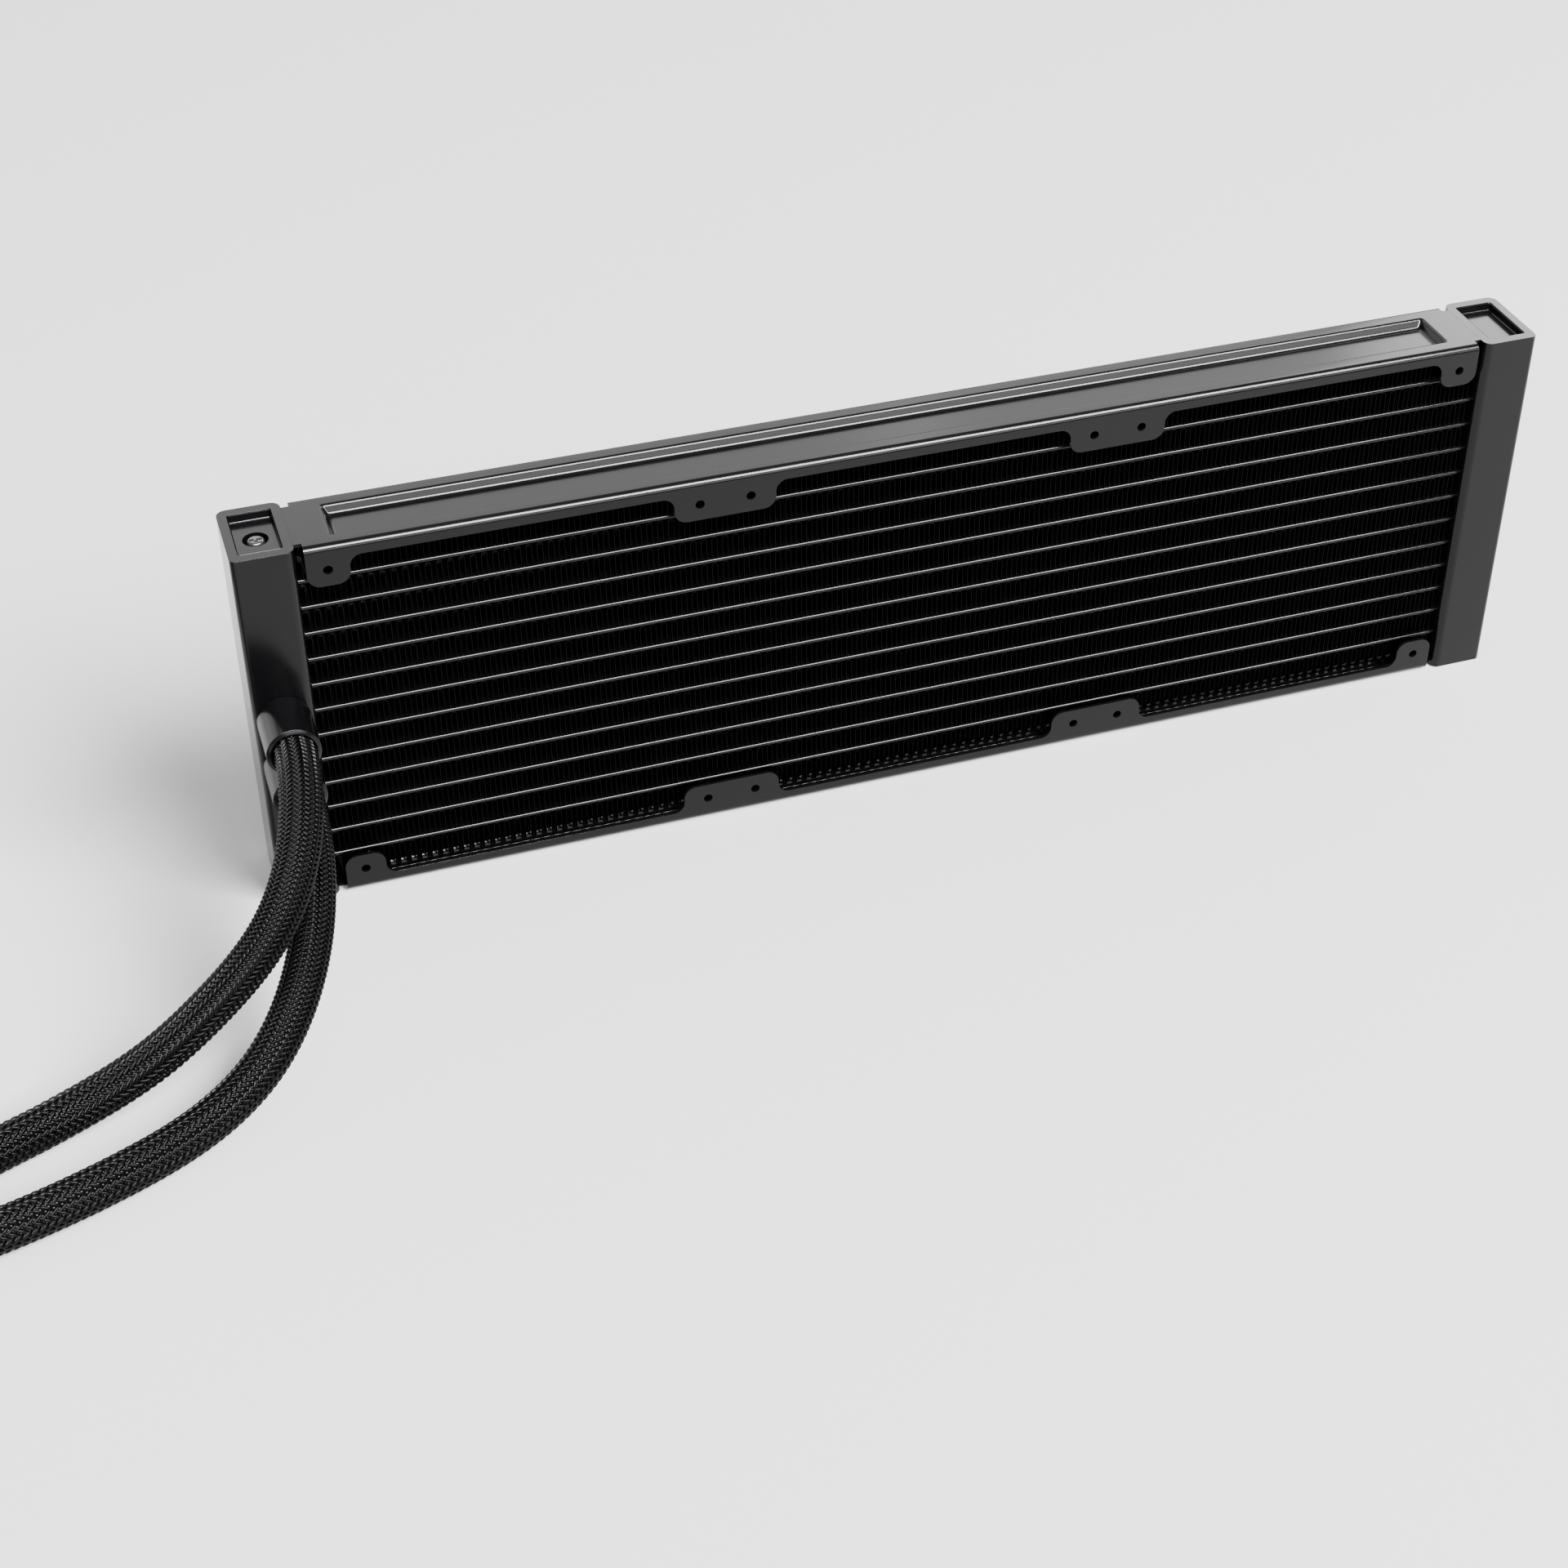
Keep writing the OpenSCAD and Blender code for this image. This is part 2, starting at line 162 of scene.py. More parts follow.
def painted(name, colour, rough, grain=0.06, spec=0.15):
    """Painted metal: fine orange peel of the given grain, slight change of gloss."""
    n = Nodes(name)
    fine = n.noise(2600, 3)
    wide = n.noise(35, 2)
    n.colour(wide, [c * 0.85 for c in colour], [c * 1.2 for c in colour])
    n.link(n.ramp(wide, rough - 0.03, rough + 0.04), n.bsdf.inputs["Roughness"])
    n.bump(fine, grain, 0.00001)
    n.set(Specular_IOR_Level=spec)
    return n.mat


def plain_metal(name, colour, rough, brushed=(1, 1, 1)):
    """Bare metal with fine turning or rolling marks."""
    n = Nodes(name)
    marks = n.noise(900, 3, brushed)
    n.colour(marks, [c * 0.82 for c in colour], colour)
    n.link(n.ramp(marks, rough - 0.06, rough + 0.08), n.bsdf.inputs["Roughness"])
    n.bump(marks, 0.15, 0.00004)
    n.set(Metallic=1.0)
    return n.mat


def rubber(name, colour):
    n = Nodes(name)
    fine = n.noise(1800, 4)
    n.colour(fine, [c * 0.7 for c in colour], [c * 1.3 for c in colour])
    n.link(n.ramp(fine, 0.5, 0.7), n.bsdf.inputs["Roughness"])
    n.bump(fine, 0.2, 0.00004)
    return n.mat


def sleeve_yarn(name):
    """Glossy monofilament yarn of the hose sleeve, with a faint change along each yarn."""
    n = Nodes(name)
    wide = n.noise(260, 2)
    fine = n.noise(5200, 2)
    n.colour(wide, (0.0003, 0.0003, 0.0003), (0.0008, 0.0008, 0.0008))
    n.link(n.ramp(wide, 0.24, 0.32), n.bsdf.inputs["Roughness"])
    n.bump(fine, 0.1, 0.00002)
    n.set(Specular_IOR_Level=0.1)
    return n.mat


BLACK = (0.0006, 0.0006, 0.0007)
FIN_BLACK = (0.0004, 0.0004, 0.0005)
STEEL_BLACK = (0.006, 0.006, 0.006)

# Each maker's values after the name: colour, roughness, then grain and specular level of a paint
MATERIALS = {
    "satin_black_paint": (painted, BLACK, 0.17),
    "black_core": (painted, BLACK, 0.1, 0.03, 0.13),
    "sheet_inside": (painted, BLACK, 0.12, 0.03, 0.07),
    "fin_black": (painted, FIN_BLACK, 0.26, 0.1, 0.045),
    "bare_aluminium": (plain_metal, (0.75, 0.76, 0.77), 0.38, (1, 12, 12)),
    "blackened_steel": (painted, STEEL_BLACK, 0.2, 0.2, 0.5),
    "seal_rubber": (rubber, (0.012, 0.012, 0.012)),
    "brass": (plain_metal, (0.75, 0.55, 0.26), 0.3),
    "gloss_black_collar": (painted, BLACK, 0.22, 0.05, 0.12),
    "braided_sleeve": (sleeve_yarn,),
    "plated_fitting": (plain_metal, (0.66, 0.67, 0.69), 0.22),
}
MATS = {name: maker(name, *values) for name, (maker, *values) in MATERIALS.items()}
SLOT_OF = {p["node"]: p["material_slot"] for p in frame["record"]["subparts"]}


def dress_cad():
    """Every CAD node that stays gets its node material."""
    for name, obj in frame["nodes"].items():
        obj.data.materials.clear()
        obj.data.materials.append(MATS[SLOT_OF[name]])


dress_cad()

# ------------------------------------------------------------------ mesh helpers


def link_mesh(name, mesh):
    obj = bpy.data.objects.new(name, mesh)
    bpy.context.scene.collection.objects.link(obj)
    return obj


def from_arrays(name, verts, faces, smooth_deg=35):
    """An object from vertices in millimetres."""
    mesh = bpy.data.meshes.new(name)
    mesh.from_pydata((np.asarray(verts, float) * MM).tolist(), [], faces)
    mesh.validate()
    obj = link_mesh(name, mesh)
    if smooth_deg:
        soften(obj, smooth_deg)
    return obj


def soften(obj, deg=35):
    """Smooth shading with sharp edges kept above the angle."""
    for p in obj.data.polygons:
        p.use_smooth = True
    obj.data.set_sharp_from_angle(angle=math.radians(deg))


def clean(obj, weld=1e-6):
    """Welds doubles and turns the faces outward."""
    bm = bmesh.new()
    bm.from_mesh(obj.data)
    bmesh.ops.remove_doubles(bm, verts=bm.verts, dist=weld)
    bmesh.ops.recalc_face_normals(bm, faces=bm.faces)
    bm.to_mesh(obj.data)
    bm.free()
    return obj


def apply_modifiers(obj):
    """Bakes the modifiers of obj into its mesh."""
    deps = bpy.context.evaluated_depsgraph_get()
    mesh = bpy.data.meshes.new_from_object(obj.evaluated_get(deps))
    obj.modifiers.clear()
    obj.data = mesh
    return obj


def cut(obj, tools):
    """Takes the tools away from obj and deletes them."""
    for t in tools:
        m = obj.modifiers.new("cut", "BOOLEAN")
        m.operation = "DIFFERENCE"
        m.solver = "EXACT"
        m.object = t
    bpy.context.view_layer.update()
    apply_modifiers(obj)
    for t in tools:
        bpy.data.objects.remove(t)
    return obj


def even_normals(obj):
    """Large flat faces keep their own direction beside rounded edges."""
    m = obj.modifiers.new("normals", "WEIGHTED_NORMAL")
    m.keep_sharp = True
    m.weight = 100
    bpy.context.view_layer.update()
    return apply_modifiers(obj)


def finish_piece(obj, nodes, body=ROOT, slot=None):
    """Attaches the piece to its body, gives it the material of its slot, and hides the CAD nodes
    that it stands for.
    """
    slot = slot or SLOT_OF[nodes[0]]
    if not obj.data.materials:
        obj.data.materials.append(MATS[slot])
    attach(obj, body)
    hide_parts(*nodes)
    return obj


def rounded(points, seg=8):
    """A closed outline of (x, y, corner radius) with each corner rounded."""
    out = []
    n = len(points)
    for i, (x, y, r) in enumerate(points):
        here = np.array((x, y), float)
        if r <= 0:
            out.append(here)
            continue
        a = np.array(points[i - 1][:2]) - here
        b = np.array(points[(i + 1) % n][:2]) - here
        a /= np.linalg.norm(a)
        b /= np.linalg.norm(b)
        half = math.acos(np.clip(a @ b, -1, 1)) / 2
        reach = r / math.tan(half)
        centre = here + (a + b) / np.linalg.norm(a + b) * r / math.sin(half)
        start, end = here + a * reach - centre, here + b * reach - centre
        t0 = math.atan2(start[1], start[0])
        turn = (math.atan2(end[1], end[0]) - t0 + math.pi) % (2 * math.pi) - math.pi
        for k in range(seg + 1):
            t = t0 + turn * k / seg
            out.append(centre + r * np.array((math.cos(t), math.sin(t))))
    return np.array(out)


CORNERS = ((-1, -1), (1, -1), (1, 1), (-1, 1))


def rect_ring(cx, w, d, radii, inset, z, seg=6, least=0.02):
    """Rounded rectangle shrunk by inset, always with the same number of points."""
    hw, hd = w / 2 - inset, d / 2 - inset
    pts = []
    for (sx, sy), r in zip(CORNERS, radii):
        rr = max(r - inset, least)
        ccx, ccy = cx + sx * (hw - rr), sy * (hd - rr)
        t0 = math.atan2(sy, sx) - math.pi / 4
        for k in range(seg + 1):
            t = t0 + math.pi / 2 * k / seg
            pts.append((ccx + rr * math.cos(t), ccy + rr * math.sin(t), z))
    return pts


def loft(name, rings, closed=False, smooth_deg=35):
    """Quads between rings of equal length. A closed one runs back to its first ring,
    and any other has a cap at each end."""
    n = len(rings[0])
    verts = [p for ring in rings for p in ring]
    faces = []
    pairs = list(zip(range(len(rings) - 1), range(1, len(rings))))
    if closed:
        pairs.append((len(rings) - 1, 0))
    for a, b in pairs:
        for j in range(n):
            k = (j + 1) % n
            faces.append((a * n + j, a * n + k, b * n + k, b * n + j))
    if not closed:
        faces.append(tuple(reversed(range(n))))
        faces.append(tuple((len(rings) - 1) * n + j for j in range(n)))
    obj = from_arrays(name, verts, faces, 0)
    clean(obj)
    soften(obj, smooth_deg)
    return obj


def around(steps):
    """Angles of evenly spaced points round a full turn."""
    return np.linspace(0, TURN, steps, endpoint=False)


def box_of(node):
    """Lower and upper corner of a CAD node in millimetres."""
    return (np.array(v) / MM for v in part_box(node))


def lathe(name, profile, at, axis="z", steps=48, smooth_deg=35):
    """Turns a closed outline of (radius, height) points about an axis through at."""
    rings = []
    for r, h in profile:
        ring = []
        for k in range(steps):
            t = TURN * k / steps
            c, s = r * math.cos(t), r * math.sin(t)
            ring.append(tuple(np.add((c, s, h) if axis == "z" else (c, h, s), at)))
        rings.append(ring)
    return loft(name, rings, closed=True, smooth_deg=smooth_deg)


def arc(cx, cy, r, a0, a1, seg=6):
    """Points of an arc from angle a0 to a1 in degrees."""
    return [
        (cx + r * math.cos(math.radians(a0 + (a1 - a0) * k / seg)),
         cy + r * math.sin(math.radians(a0 + (a1 - a0) * k / seg)))
        for k in range(seg + 1)
    ]


# ------------------------------------------------------------------ hoses

PORT_X = -TANK_MID
HOSE_D = 12.0

# Route points as in the CAD source: x from the middle of the port tank, y, z
ROUTES = {
    1: [
        (0, -27, 66.4), (-0.5, -38, 65.5), (-5.5, -59.5, 56.5), (-17.5, -75.5, 43),
        (-35, -82.5, 29), (-54.5, -85, 15.5), (-77, -88, 7), (-99.5, -96, 6), (-125, -102, 6),
        (-150.5, -97, 6), (-171.5, -81.5, 6), (-184, -58.5, 6), (-186.5, -32.5, 6),
        (-186.5, -6.5, 6), (-186.5, 19.5, 6), (-186.5, 44, 6.7), (-186.5, 66, 7.4),
    ],
    2: [
        (0, -27, 50.6), (-0.2, -38, 49.5), (-3, -59.5, 40.5), (-11, -77.5, 26),
        (-25, -92.5, 13.5), (-44, -104, 7), (-66.5, -114, 6), (-89.5, -121.5, 6),
        (-115, -126.5, 6), (-143, -125.5, 6), (-170, -114.5, 6), (-192.5, -95.5, 6),
        (-207, -70.5, 6), (-211.5, -42.5, 6), (-211.5, -16.5, 6), (-211.5, -1, 6.7),
        (-211.5, 17, 7.4),
    ],
}


SPAN_POWER = 0.7        # how the curve's parameter grows with the distance between points
SPAN_SAMPLES = 200


def spline(points, step=0.5):
    """A smooth curve through the points, leaving along -Y and ending along +Y, resampled evenly.
    It comes with its length."""
    p = np.array(points, float)
    h = np.linalg.norm(np.diff(p, axis=0), axis=1) ** SPAN_POWER
    n = len(p)
    speed0 = np.linalg.norm(p[1] - p[0]) / h[0]
    speed1 = np.linalg.norm(p[-1] - p[-2]) / h[-1]
    a = np.zeros((n, n))
    b = np.zeros((n, 3))
    a[0, 0], a[-1, -1] = 1, 1
    b[0], b[-1] = (0, -speed0, 0), (0, speed1, 0)
    for i in range(1, n - 1):
        a[i, i - 1 : i + 2] = 1 / h[i - 1], 2 * (1 / h[i - 1] + 1 / h[i]), 1 / h[i]
        b[i] = 3 * ((p[i] - p[i - 1]) / h[i - 1] ** 2 + (p[i + 1] - p[i]) / h[i] ** 2)
    d = np.linalg.solve(a, b)
    out = []
    for i in range(n - 1):
        u = np.linspace(0, 1, SPAN_SAMPLES, endpoint=False)[:, None]
        h00, h10 = 2 * u**3 - 3 * u**2 + 1, u**3 - 2 * u**2 + u
        h01, h11 = -2 * u**3 + 3 * u**2, u**3 - u**2
        out.append(h00 * p[i] + h10 * h[i] * d[i] + h01 * p[i + 1] + h11 * h[i] * d[i + 1])
    q = np.vstack(out + [p[-1:]])
    q[:, 2] = np.maximum(q[:, 2], HOSE_D / 2)
    s = np.concatenate([[0], np.cumsum(np.linalg.norm(np.diff(q, axis=0), axis=1))])
    even = np.linspace(0, s[-1], int(s[-1] / step) + 1)
    return np.stack([np.interp(even, s, q[:, k]) for k in range(3)], 1), s[-1]


def frames(path):
    """Two directions across the path that turn as little as possible along it."""
    t = np.gradient(path, axis=0)
    t /= np.linalg.norm(t, axis=1)[:, None]
    side = np.zeros_like(path)
    side[0] = np.cross(t[0], (0, 0, 1))
    side[0] /= np.linalg.norm(side[0])
    for i in range(1, len(path)):
        v = side[i - 1] - t[i] * (side[i - 1] @ t[i])
        side[i] = v / np.linalg.norm(v)
    return side, np.cross(side, t)


def on_tube(path, side, up, s, angle, radius, total):
    """Points at arc length s, angle and radius round the path, all arrays."""
    i = np.clip(s / total, 0, 1) * (len(path) - 1)
    i0 = np.minimum(i.astype(int), len(path) - 2)
    f = (i - i0)[..., None]

    def mix(v):
        return v[i0] * (1 - f) + v[i0 + 1] * f

    ring = mix(side) * np.cos(angle)[..., None] + mix(up) * np.sin(angle)[..., None]
    return mix(path) + ring * np.asarray(radius)[..., None]


YARNS = 20              # yarns each way
YARN_MID_R = 5.6
YARN_WAVE = 0.34        # how far a yarn rises over and sinks under the others
WAVE_FLATTEN = 1.35     # widens the tops and bottoms of that wave
# across a yarn: offset from its middle in rows, and radial rise
YARN_SECTION = ((-0.37, -0.55), (-0.24, -0.1), (0.0, 0.1), (0.24, -0.1), (0.37, -0.55))
ROW_NEAR = 1.4          # length of a braid row by the collar
ROW_FAR = 2.2           # and where the sleeve lies at ease
EASE_FROM, EASE_OVER = 45, 70   # where the rows start to lengthen, and over what length
CORE_R = YARN_MID_R - 0.62
CORE_SIDES = 20
CORE_STEP = 3


def braid_quarters(total):
    """Arc lengths of the quarters of the braid rows, which are shorter near the collar."""
    s = [0.0]
    while s[-1] < total:
        ease = np.clip((s[-1] - EASE_FROM) / EASE_OVER, 0, 1)
        ease = ease * ease * (3 - 2 * ease)
        s.append(s[-1] + (ROW_NEAR + (ROW_FAR - ROW_NEAR) * ease) / 4)
    return np.array(s)


def sleeve_yarns(path, side, up, total):
    """Vertices and quads of the yarns that wind both ways over and under each other."""
    quarter = braid_quarters(total)
    per_unit = 2            # samples from one crossing to the next
    half_rows = len(quarter) // 2
    verts, faces = [], []
    count = 0
    grid = np.arange(0, half_rows * per_unit + 1) / per_unit
    for way in (1, -1):
        for k in range(YARNS):
            # crossing number m sets the angle; grid counts half rows along the hose
            m = way * grid + 2 * k + (0 if way > 0 else 1)
            over = np.clip(np.cos(math.pi / 2 * (m - 0.5)) * way * WAVE_FLATTEN, -1, 1)
            cols = []
            for off, rise in YARN_SECTION:
                w = grid + 2 * off
                s = np.interp(w * 2, np.arange(len(quarter)), quarter)
                angle = m * math.pi / YARNS
                radius = YARN_MID_R + YARN_WAVE * over + rise
                cols.append(on_tube(path, side, up, s, angle, radius, total))
            block = np.stack(cols, 1)
            g, c = block.shape[:2]
            verts.append(block.reshape(-1, 3))
            idx = count + np.arange(g * c).reshape(g, c)
            quads = np.stack([idx[:-1, :-1], idx[:-1, 1:], idx[1:, 1:], idx[1:, :-1]], -1)
            if way > 0:
                quads = quads[..., ::-1]
            faces.append(quads.reshape(-1, 4))
            count += g * c
    return np.vstack(verts), np.vstack(faces)


def core_tube(path, side, up, total):
    """Vertices and quads of the rubber hose under the sleeve."""
    steps = max(2, int(total / CORE_STEP))
    s = np.linspace(0, total, steps)
    a = np.arange(CORE_SIDES) * TURN / CORE_SIDES
    verts = on_tube(path, side, up, np.repeat(s, CORE_SIDES), np.tile(a, steps),
                    np.full(steps * CORE_SIDES, CORE_R), total)
    idx = np.arange(steps * CORE_SIDES).reshape(steps, CORE_SIDES)
    nxt = np.roll(idx, -1, axis=1)
    return verts, np.stack([idx[:-1], nxt[:-1], nxt[1:], idx[1:]], -1).reshape(-1, 4)


def braided_hose(i):
    """One sleeved hose, with its route and length in metres."""
    path, total = spline([(x + PORT_X, y, z) for x, y, z in ROUTES[i]])
    side, up = frames(path)
    yarns, yarn_faces = sleeve_yarns(path, side, up, total)
    core, core_faces = core_tube(path, side, up, total)
    obj = from_arrays(f"hose_{i}_sleeve", np.vstack([yarns, core]),
                      np.vstack([yarn_faces, core_faces + len(yarns)]).tolist(), 0)
    for p in obj.data.polygons:
        p.use_smooth = True
    obj.data.materials.append(MATS["braided_sleeve"])
    obj.data.materials.append(MATS["seal_rubber"])
    which = np.zeros(len(obj.data.polygons), int)
    which[len(yarn_faces):] = 1
    obj.data.polygons.foreach_set("material_index", which.tolist())
    finish_piece(obj, [f"hose_{i}"])
    return obj, path * MM, total * MM


CORDS = {i: braided_hose(i) for i in (1, 2)}


# ------------------------------------------------------------------ side plates

EAR = 12.6
STRIP = 4.1
EAR_R = 3.8
HOLLOW_R = 3.4
END_EAR = 12
EAR_SPANS = ((-PLATE_END, -PLATE_END + END_EAR), (-75, -45),
             (45, 75), (PLATE_END - END_EAR, PLATE_END))
HOLE_X = (52.5, 67.5, 172.5)
HOLE_DROP = 7.5
HOLE_R = 1.35
TONGUE_Y = 10.0
MOUTH_X, MOUTH_Y = 170.8, 8.4
RIM_R, FOOT_R = 1.3, 1.6
RECESS = 2.6
RECESS_SLOPE = math.radians(60)
MOUTH_CORNER = 1.5
LEAST_CORNER = 0.8      # of the rings down the recess wall
CUT_EDGE = 0.06         # rounding of the sheet's cut edges


def recess_profile(seg=7):
    """(inset from the mouth, depth) down the wall of the pressed recess."""
    s, c = math.sin(RECESS_SLOPE), math.cos(RECESS_SLOPE)
    pts = [(RIM_R * math.sin(a), RIM_R * (1 - math.cos(a)))
           for a in np.linspace(0, RECESS_SLOPE, seg)]
    flat = RECESS - (RIM_R + FOOT_R) * (1 - c)
    foot_x = RIM_R * s + flat / math.tan(RECESS_SLOPE) + FOOT_R * s
    pts += [(foot_x - FOOT_R * math.sin(a), RECESS - FOOT_R * (1 - math.cos(a)))
            for a in np.linspace(RECESS_SLOPE, 0, seg)]
    return pts


def fill_loops(bm, loops):
    """Fills the area between an outer loop and the loops inside it."""
    edges = []
    for loop in loops:
        for a, b in zip(loop, loop[1:] + loop[:1]):
            edges.append(bm.edges.get((a, b)) or bm.edges.new((a, b)))
    bmesh.ops.triangle_fill(bm, use_beauty=True, edges=edges)


def flange_loops(bm, y, top):
    """The outline of a flange with its ears, and its holes. The first and last outline
    points lie on the fold."""
    pts = [(-PLATE_END, -BEND_R, 0)]
    for k, (a, b) in enumerate(EAR_SPANS):
        if k:
            pts.append((a, -STRIP, HOLLOW_R))
        pts += [(a, -EAR, EAR_R), (b, -EAR, EAR_R)]
        if k < len(EAR_SPANS) - 1:
            pts.append((b, -STRIP, HOLLOW_R))
    pts.append((PLATE_END, -BEND_R, 0))
    outline = [bm.verts.new((x, y, top + z)) for x, z in rounded(pts, 10)]
    loops = [outline]
    z = top - HOLE_DROP
    for x in [s * v for v in HOLE_X for s in (-1, 1)]:
        loops.append([bm.verts.new((x + HOLE_R * math.cos(t), y, z + HOLE_R * math.sin(t)))
                      for t in around(28)])
    return loops


def tongue(bm, end, top):
    """Corners of the narrow end of the web, which reaches the tank at that end."""
    return [bm.verts.new((end * x, end * y, top)) for x, y in
            ((PLATE_END, -TONGUE_Y), (TANK_IN, -TONGUE_Y),
             (TANK_IN, TONGUE_Y), (PLATE_END, TONGUE_Y))]


def side_plate(name, flip):
    """Folded sheet with two flanges and a pressed recess. The lower one is flipped."""
    bm = bmesh.new()
    top = HEIGHT
    fold_edges = {}
    for sign in (-1, 1):
        y_face = sign * BACK
        loops = flange_loops(bm, y_face, top)
        fill_loops(bm, loops)
        prev = (loops[0][0], loops[0][-1])
        for a in np.linspace(0, math.pi / 2, 11)[1:]:
            y = y_face - sign * BEND_R * (1 - math.cos(a))
            z = top - BEND_R * (1 - math.sin(a))
            pair = tuple(bm.verts.new((x, y, z)) for x in (-PLATE_END, PLATE_END))
            bm.faces.new((prev[0], prev[1], pair[1], pair[0]))
            prev = pair
        fold_edges[sign] = prev
    outer = [fold_edges[-1][0], fold_edges[-1][1]] + tongue(bm, 1, top)
    outer += [fold_edges[1][1], fold_edges[1][0]] + tongue(bm, -1, top)
    rings = []
    for inset, depth in recess_profile():
        ring = rect_ring(0, 2 * MOUTH_X, 2 * MOUTH_Y, [MOUTH_CORNER] * 4, inset, top - depth,
                         least=LEAST_CORNER)
        rings.append([bm.verts.new(p) for p in ring])
    fill_loops(bm, [outer, rings[0]])
    n = len(rings[0])
    for a, b in zip(rings, rings[1:]):
        for j in range(n):
            bm.faces.new((a[j], a[(j + 1) % n], b[(j + 1) % n], b[j]))
    bm.faces.new(rings[-1])
    for v in bm.verts:
        v.co *= MM
    if flip:
        for v in bm.verts:
            v.co.z = HEIGHT * MM - v.co.z
    bmesh.ops.recalc_face_normals(bm, faces=bm.faces)
    mesh = bpy.data.meshes.new(name)
    bm.to_mesh(mesh)
    bm.free()
    mid = min(mesh.polygons, key=lambda p: abs(p.center.x) + abs(p.center.y) * 10)
    if (mid.normal.z > 0) == flip:
        mesh.flip_normals()
    obj = link_mesh(name, mesh)
    solid = obj.modifiers.new("sheet", "SOLIDIFY")
    solid.thickness = SHEET * MM
    solid.offset = -1
    solid.use_even_offset = True
    solid.material_offset = solid.material_offset_rim = 1
    mesh.materials.append(MATS["satin_black_paint"])
    mesh.materials.append(MATS["sheet_inside"])
    edge = obj.modifiers.new("edge", "BEVEL")
    edge.width = CUT_EDGE * MM
    edge.segments = 2
    edge.limit_method = "ANGLE"
    edge.angle_limit = math.radians(55)
    bpy.context.view_layer.update()
    apply_modifiers(obj)
    soften(obj, 30)
    return even_normals(obj)


finish_piece(side_plate("top_side_plate_sheet", False), ["top_side_plate"])
finish_piece(side_plate("bottom_side_plate_sheet", True), ["bottom_side_plate"])

# ------------------------------------------------------------------ tanks and their caps

TANK_W = TANK_OUT - TANK_IN
DEPTH = BACK - FRONT
POCKET_W, POCKET_L, POCKET = 12.2, 21.0, 2.5
POCKET_RADII = (0.8,) * 4
PORT_Z = (66.4, 50.6)
PORT_R = 4.8
LEFT_RADII = (1.8, 2.6, 2.8, 2.8)       # of a tank's upright edges
RIGHT_RADII = (2.6, 1.8, 2.8, 2.8)
TANK_EDGE = 0.06        # rounding of the rim outside
TANK_LIP = 0.12         # and at the pocket


def tank(name, side):
    """Tube with rounded upright edges. side is -1 for the left tank."""
    cx = side * TANK_MID
    radii = LEFT_RADII if side < 0 else RIGHT_RADII
    rings = []
    low = [(TANK_EDGE * (1 - math.cos(a)), TANK_EDGE * (1 - math.sin(a)))
           for a in np.linspace(math.pi / 2, 0, 5)]
    # outer wall from the rounded lower rim to the rounded upper rim
    for inset, z in low:
        rings.append(rect_ring(cx, TANK_W, DEPTH, radii, inset, z))
    for inset, z in reversed(low):
        rings.append(rect_ring(cx, TANK_W, DEPTH, radii, inset, HEIGHT - z))
    inner = [(-TANK_LIP * (1 - math.sin(a)), TANK_LIP * (1 - math.cos(a)))
             for a in np.linspace(0, math.pi / 2, 4)]
    for inset, drop in inner:
        rings.append(rect_ring(cx, POCKET_W, POCKET_L, POCKET_RADII, inset, HEIGHT - drop))
    for inset, drop in reversed(inner):
        rings.append(rect_ring(cx, POCKET_W, POCKET_L, POCKET_RADII, inset, drop))
    return loft(name, rings, closed=True, smooth_deg=32)


def rod_tool(x, z, y0, y1, r):
    """Round bar along Y that cuts a hole."""
    rings = [[(x + r * math.cos(t), y, z + r * math.sin(t)) for t in around(48)]
             for y in (y0, y1)]
    return loft("tool", rings, smooth_deg=0)


def header_box(side, word):
    """Block that cuts the window for the header plate."""
    lo, hi = box_of(f"{word}_header_plate")
    lo[0], hi[0] = sorted((side * (TANK_IN - 1), side * (TANK_IN + 4)))
    ring = [(lo[0], lo[1]), (hi[0], lo[1]), (hi[0], hi[1]), (lo[0], hi[1])]
    return loft("tool", [[(x, y, z) for x, y in ring] for z in (lo[2], hi[2])], smooth_deg=0)


def make_tanks():
    for side, word in ((-1, "left"), (1, "right")):
        obj = tank(f"{word}_tank_body", side)
        tools = [header_box(side, word)]
        if side < 0:
            tools += [rod_tool(PORT_X, z, FRONT - 2, FRONT + 8, PORT_R) for z in PORT_Z]
        cut(obj, tools)
        soften(obj, 32)
        finish_piece(even_normals(obj), [f"{word}_tank"])


make_tanks()

PIT_R = 3.6
PIT = 4.9
SHANK_HOLE_R = 1.5
BOSS_R = 4.5
CAP_WALL = 0.3
CAP_FOOT = 0.45         # radius between the wall and the floor of the pocket
# (inset, depth below the tank's end) from the underside over the rim to the top of the wall
CAP_PROFILE = ((1.0, POCKET + 1.5), (0.02, POCKET + 1.3), (0.02, 0.22), (0.16, 0.1),
               (CAP_WALL, 0.3))


